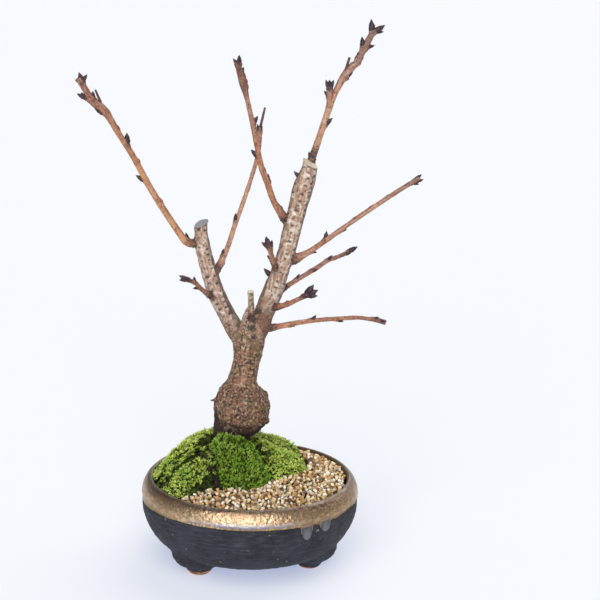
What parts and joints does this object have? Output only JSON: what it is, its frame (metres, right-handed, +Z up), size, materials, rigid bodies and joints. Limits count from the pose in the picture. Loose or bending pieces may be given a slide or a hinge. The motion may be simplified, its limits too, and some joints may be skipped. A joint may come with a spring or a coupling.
{
  "type": "cherry bonsai",
  "caption": "Winter cherry bonsai with a swollen base, cut limbs and budded whips, rooted in moss and gravel in a round footed pot with a glazed band.",
  "frame": {"origin": "on the surface that the feet stand on, under the middle of the pot", "axes": "+Z up, -Y towards the front that the picture shows, +X to its right"},
  "size_m": [0.1838, 0.1206, 0.2987],
  "materials": {
    "fired_clay": "matte",
    "net_plastic": "matte",
    "soil": "matte",
    "moss": "matte",
    "gravel": "matte",
    "bark": "satin"
  },
  "bodies": {
    "root": {"pot": "fired_clay", "drain_net": "net_plastic", "soil": "soil", "moss_front": "moss", "moss_left_front": "moss", "moss_left_back": "moss", "moss_back_left": "moss", "moss_back_right": "moss", "moss_right": "moss", "gravel": "gravel", "cherry_tree": "bark"}
  },
  "joints": []
}
